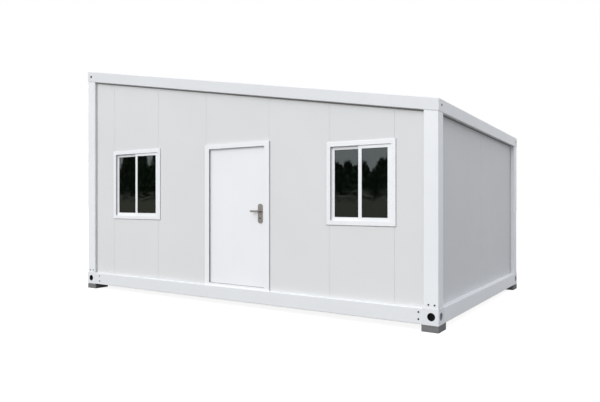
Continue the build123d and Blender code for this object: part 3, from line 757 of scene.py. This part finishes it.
def reflected_card(name, near, far, material):
    """Card right across the floor between two edges, given as (y, z), that only reflections show."""
    corners = [(-FLOOR_REACH, *near), (FLOOR_REACH, *near), (FLOOR_REACH, *far), (-FLOOR_REACH, *far)]
    card = stage_object(name, corners, material)
    for ray in ("camera", "diffuse", "transmission", "volume_scatter", "shadow"):
        setattr(card, f"visible_{ray}", False)


def seen_directly(tree, gloss=1.0):
    """One for rays from the camera, also through glass, and gloss for those by way of a gloss."""
    rays = node(tree, "ShaderNodeLightPath").outputs
    direct = math_node(tree, "MAXIMUM", rays["Is Camera Ray"], rays["Is Transmission Ray"])
    mirrored = math_node(tree, "MULTIPLY", rays["Is Glossy Ray"], gloss)
    return math_node(tree, "MAXIMUM", direct, mirrored)


def floor_material():
    """Pale floor: plain for the light it throws back, and near white with a soft shadow when seen."""
    material, tree = empty_material("floor")
    bounce = node(tree, "ShaderNodeBsdfDiffuse", {"Color": (*FLOOR_BOUNCE, 1.0)}).outputs["BSDF"]
    glow = node(tree, "ShaderNodeEmission", {"Color": WHITE, "Strength": FLOOR_GLOW}).outputs["Emission"]
    bright = node(tree, "ShaderNodeAddShader", {0: bounce, 1: glow}).outputs["Shader"]
    surface = node(tree, "ShaderNodeMixShader", {0: seen_directly(tree, FLOOR_GLOSS), 1: bounce, 2: bright})
    node(tree, "ShaderNodeOutputMaterial", {"Surface": surface.outputs["Shader"]})
    return material


def tree_tops(tree, place, along):
    """Height of the tree line: a sloping base, domed crowns of three sizes, and ragged leaves."""
    edge = spread(tree, along, TREES_LEFT[0], TREES_RIGHT[0], TREES_LEFT[1], TREES_RIGHT[1])
    shifted = math_node(tree, "ADD", along, TREE_SHIFT)
    for spacing, crown in TREE_CROWNS:
        cells = node(
            tree, "ShaderNodeTexVoronoi", {"W": shifted, "Scale": 1.0 / spacing}, voronoi_dimensions="1D",
        )
        squared = math_node(tree, "POWER", cells.outputs["Distance"], 2.0)
        dome = math_node(tree, "SQRT", spread(tree, squared, 0.0, 0.36, 1.0, 0.0))
        edge = math_node(tree, "ADD", edge, math_node(tree, "MULTIPLY", dome, crown))
    leaves = spread(tree, noise(tree, place, 4.0, 5.0), 0.3, 0.7, -0.35, 0.35)
    return math_node(tree, "ADD", edge, leaves)


def horizon_material():
    """Dark line of trees over open ground, for the window glass to reflect."""
    material, tree = empty_material("horizon")
    place = node(tree, "ShaderNodeTexCoord").outputs["Object"]
    axes = node(tree, "ShaderNodeSeparateXYZ", {"Vector": place})
    height = axes.outputs["Z"]
    ragged = noise(tree, place, 1.6, 6.0)
    tops = tree_tops(tree, place, axes.outputs["X"])
    solid = spread(tree, math_node(tree, "SUBTRACT", tops, height), 0.0, 0.08)
    scrub = math_node(tree, "ADD", height, spread(tree, ragged, 0.3, 0.7, -0.6, 0.6))
    ground = spread(tree, scrub, 1.3, 1.9, 1.0, 0.0)
    leaves = mix(tree, spread(tree, ragged, 0.5, 0.68), LEAF_DARK, LEAF_LIGHT)
    gaps = spread(tree, noise(tree, place, 1.3, 4.0, (0.5, 1.0, 2.4)), 0.48, 0.58)
    far_field = math_node(tree, "MULTIPLY", gaps, spread(tree, scrub, 2.6, 3.0, 1.0, 0.0))
    colour = mix(tree, far_field, leaves, FAR_FIELD)
    colour = mix(tree, ground, colour, NEAR_GROUND)
    shade = node(tree, "ShaderNodeEmission", {"Color": colour, "Strength": 1.0}).outputs["Emission"]
    clear = node(tree, "ShaderNodeBsdfTransparent").outputs["BSDF"]
    surface = node(tree, "ShaderNodeMixShader", {0: solid, 1: clear, 2: shade})
    node(tree, "ShaderNodeOutputMaterial", {"Surface": surface.outputs["Shader"]})
    return material


floor_corners = [(x * FLOOR_REACH, y * FLOOR_REACH, 0) for x, y in ((-1, -1), (1, -1), (1, 1), (-1, 1))]
stage_object("floor", floor_corners, floor_material())
reflected = horizon_material()
reflected_card("horizon", (HORIZON_Y, 0), (HORIZON_Y, HORIZON_HEIGHT), reflected)
reflected_card("field", (HORIZON_Y, FIELD_LIFT), (FIELD_Y, FIELD_LIFT), reflected)

world = bpy.data.worlds.new("studio")
world.use_nodes = True
sky = world.node_tree
sky.nodes.clear()
heading = node(sky, "ShaderNodeTexCoord").outputs["Generated"]
up = node(sky, "ShaderNodeSeparateXYZ", {"Vector": heading}).outputs["Z"]
overcast = spread(sky, up, 0.0, 1.0, SKY_LOW, SKY_HIGH)
dome = node(sky, "ShaderNodeBackground", {"Color": (*SKY_TINT, 1.0), "Strength": overcast})
white = node(sky, "ShaderNodeBackground", {"Color": WHITE, "Strength": 1.0})
backdrop = node(
    sky, "ShaderNodeMixShader",
    {0: seen_directly(sky), 1: dome.outputs["Background"], 2: white.outputs["Background"]},
)
node(sky, "ShaderNodeOutputWorld", {"Surface": backdrop.outputs["Shader"]})
bpy.context.scene.world = world

key = bpy.data.lights.new("key", "SUN")
key.energy = KEY_ENERGY
key.color = KEY_COLOUR
key.angle = math.radians(KEY_ANGLE)
key_lamp = bpy.data.objects.new("key", key)
key_lamp.rotation_euler = Vector(KEY_DIRECTION).to_track_quat("-Z", "Y").to_euler()
bpy.context.scene.collection.objects.link(key_lamp)

camera_data = bpy.data.cameras.new("camera")
camera_data.lens = LENS
camera_data.sensor_width = SENSOR_WIDTH
camera = bpy.data.objects.new("camera", camera_data)
camera.location = CAMERA_PLACE
camera.rotation_euler = (math.radians(CAMERA_TILT), 0.0, math.radians(CAMERA_TURN))
bpy.context.scene.collection.objects.link(camera)
bpy.context.scene.camera = camera
bpy.context.scene.view_settings.view_transform = "Standard"
